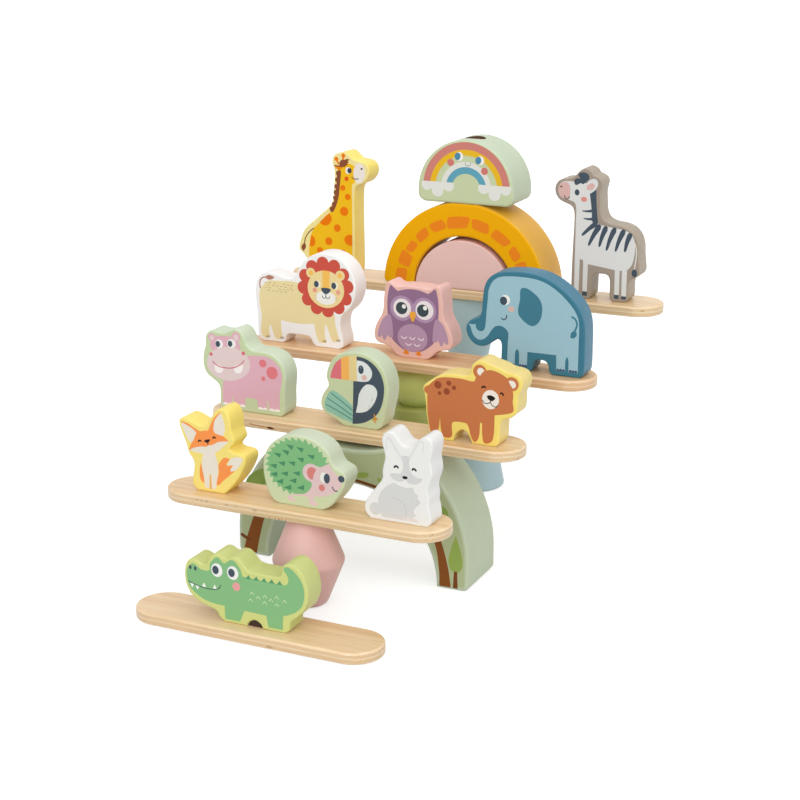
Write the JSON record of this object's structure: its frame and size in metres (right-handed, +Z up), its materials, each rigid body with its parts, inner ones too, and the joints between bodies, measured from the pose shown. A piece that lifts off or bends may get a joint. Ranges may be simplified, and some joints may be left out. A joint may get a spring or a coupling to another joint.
{
  "type": "animal stacking game",
  "caption": "Wooden balancing game: flat painted animals stand on round-ended boards in a stepped stand of turned blocks, with an arch and a dome on top.",
  "frame": {"origin": "middle of the set's footprint, on the floor", "axes": "+X along the boards to the right, +Y from the front row to the back row, +Z up"},
  "size_m": [0.311, 0.376, 0.2835],
  "materials": {
    "birch_plywood": "satin lacquer",
    "pink_paint": "satin",
    "sage_paint": "satin",
    "green_paint": "satin",
    "blue_paint": "satin",
    "yellow_paint": "satin",
    "pale_green_paint": "satin",
    "lime_paint": "satin",
    "straw_paint": "satin",
    "white_paint": "satin",
    "teal_paint": "satin",
    "taupe_paint": "satin"
  },
  "bodies": {
    "board_row_1": {"board_row_1": "birch_plywood"},
    "board_row_2": {"board_row_2": "birch_plywood"},
    "board_row_3": {"board_row_3": "birch_plywood"},
    "board_row_4": {"board_row_4": "birch_plywood"},
    "board_row_5": {"board_row_5": "birch_plywood"},
    "pink_double_cone_row_2": {"pink_double_cone_row_2": "pink_paint"},
    "tree_bridge": {"tree_bridge": "sage_paint"},
    "green_cylinder": {"green_cylinder": "green_paint"},
    "green_ball": {"green_ball": "green_paint"},
    "blue_cone_lower": {"blue_cone_lower": "blue_paint"},
    "pink_double_cone_row_5": {"pink_double_cone_row_5": "pink_paint"},
    "blue_cone_upper": {"blue_cone_upper": "blue_paint"},
    "stone_arch": {"stone_arch": "yellow_paint"},
    "pink_half_round": {"pink_half_round": "pink_paint"},
    "rainbow_dome": {"rainbow_dome": "pale_green_paint"},
    "crocodile": {"crocodile": "lime_paint"},
    "fox": {"fox": "straw_paint"},
    "hedgehog": {"hedgehog": "pale_green_paint"},
    "rabbit": {"rabbit": "white_paint"},
    "hippo": {"hippo": "pale_green_paint"},
    "toucan": {"toucan": "pale_green_paint"},
    "bear": {"bear": "straw_paint"},
    "lion": {"lion": "white_paint"},
    "owl": {"owl": "pink_paint"},
    "elephant": {"elephant": "teal_paint"},
    "giraffe": {"giraffe": "straw_paint"},
    "zebra": {"zebra": "taupe_paint"}
  },
  "joints": [
    {"name": "board_row_1_lift", "type": "slide", "parent": "tree_bridge", "child": "board_row_1", "axis": [0, 0, 1], "range_m": [0, 0.12]},
    {"name": "pink_double_cone_row_2_lift", "type": "slide", "parent": "tree_bridge", "child": "pink_double_cone_row_2", "axis": [0, 0, 1], "range_m": [0, 0.12]},
    {"name": "green_cylinder_lift", "type": "slide", "parent": "tree_bridge", "child": "green_cylinder", "axis": [0, 0, 1], "range_m": [0, 0.12]},
    {"name": "blue_cone_lower_lift", "type": "slide", "parent": "tree_bridge", "child": "blue_cone_lower", "axis": [0, 0, 1], "range_m": [0, 0.12]},
    {"name": "board_row_3_lift", "type": "slide", "parent": "tree_bridge", "child": "board_row_3", "axis": [0, 0, 1], "range_m": [0, 0.12]},
    {"name": "board_row_2_lift", "type": "slide", "parent": "pink_double_cone_row_2", "child": "board_row_2", "axis": [0, 0, 1], "range_m": [0, 0.12]},
    {"name": "green_ball_lift", "type": "slide", "parent": "green_cylinder", "child": "green_ball", "axis": [0, 0, 1], "range_m": [0, 0.12]},
    {"name": "board_row_4_lift", "type": "slide", "parent": "green_ball", "child": "board_row_4", "axis": [0, 0, 1], "range_m": [0, 0.12]},
    {"name": "pink_double_cone_row_5_lift", "type": "slide", "parent": "blue_cone_lower", "child": "pink_double_cone_row_5", "axis": [0, 0, 1], "range_m": [0, 0.12]},
    {"name": "blue_cone_upper_lift", "type": "slide", "parent": "pink_double_cone_row_5", "child": "blue_cone_upper", "axis": [0, 0, 1], "range_m": [0, 0.12]},
    {"name": "board_row_5_lift", "type": "slide", "parent": "blue_cone_upper", "child": "board_row_5", "axis": [0, 0, 1], "range_m": [0, 0.12]},
    {"name": "stone_arch_lift", "type": "slide", "parent": "board_row_5", "child": "stone_arch", "axis": [0, 0, 1], "range_m": [0, 0.12]},
    {"name": "rainbow_dome_lift", "type": "slide", "parent": "stone_arch", "child": "rainbow_dome", "axis": [0, 0, 1], "range_m": [0, 0.12]},
    {"name": "crocodile_lift", "type": "slide", "parent": "board_row_1", "child": "crocodile", "axis": [0, 0, 1], "range_m": [0, 0.12]},
    {"name": "fox_lift", "type": "slide", "parent": "board_row_2", "child": "fox", "axis": [0, 0, 1], "range_m": [0, 0.12]},
    {"name": "hedgehog_lift", "type": "slide", "parent": "board_row_2", "child": "hedgehog", "axis": [0, 0, 1], "range_m": [0, 0.12]},
    {"name": "rabbit_lift", "type": "slide", "parent": "board_row_2", "child": "rabbit", "axis": [0, 0, 1], "range_m": [0, 0.12]},
    {"name": "hippo_lift", "type": "slide", "parent": "board_row_3", "child": "hippo", "axis": [0, 0, 1], "range_m": [0, 0.12]},
    {"name": "toucan_lift", "type": "slide", "parent": "board_row_3", "child": "toucan", "axis": [0, 0, 1], "range_m": [0, 0.12]},
    {"name": "bear_lift", "type": "slide", "parent": "board_row_3", "child": "bear", "axis": [0, 0, 1], "range_m": [0, 0.12]},
    {"name": "lion_lift", "type": "slide", "parent": "board_row_4", "child": "lion", "axis": [0, 0, 1], "range_m": [0, 0.12]},
    {"name": "owl_lift", "type": "slide", "parent": "board_row_4", "child": "owl", "axis": [0, 0, 1], "range_m": [0, 0.12]},
    {"name": "elephant_lift", "type": "slide", "parent": "board_row_4", "child": "elephant", "axis": [0, 0, 1], "range_m": [0, 0.12]},
    {"name": "giraffe_lift", "type": "slide", "parent": "board_row_5", "child": "giraffe", "axis": [0, 0, 1], "range_m": [0, 0.12]},
    {"name": "zebra_lift", "type": "slide", "parent": "board_row_5", "child": "zebra", "axis": [0, 0, 1], "range_m": [0, 0.12]},
    {"name": "pink_half_round_draw", "type": "slide", "parent": "board_row_5", "child": "pink_half_round", "axis": [0, 1, 0], "range_m": [0, 0.045]}
  ]
}
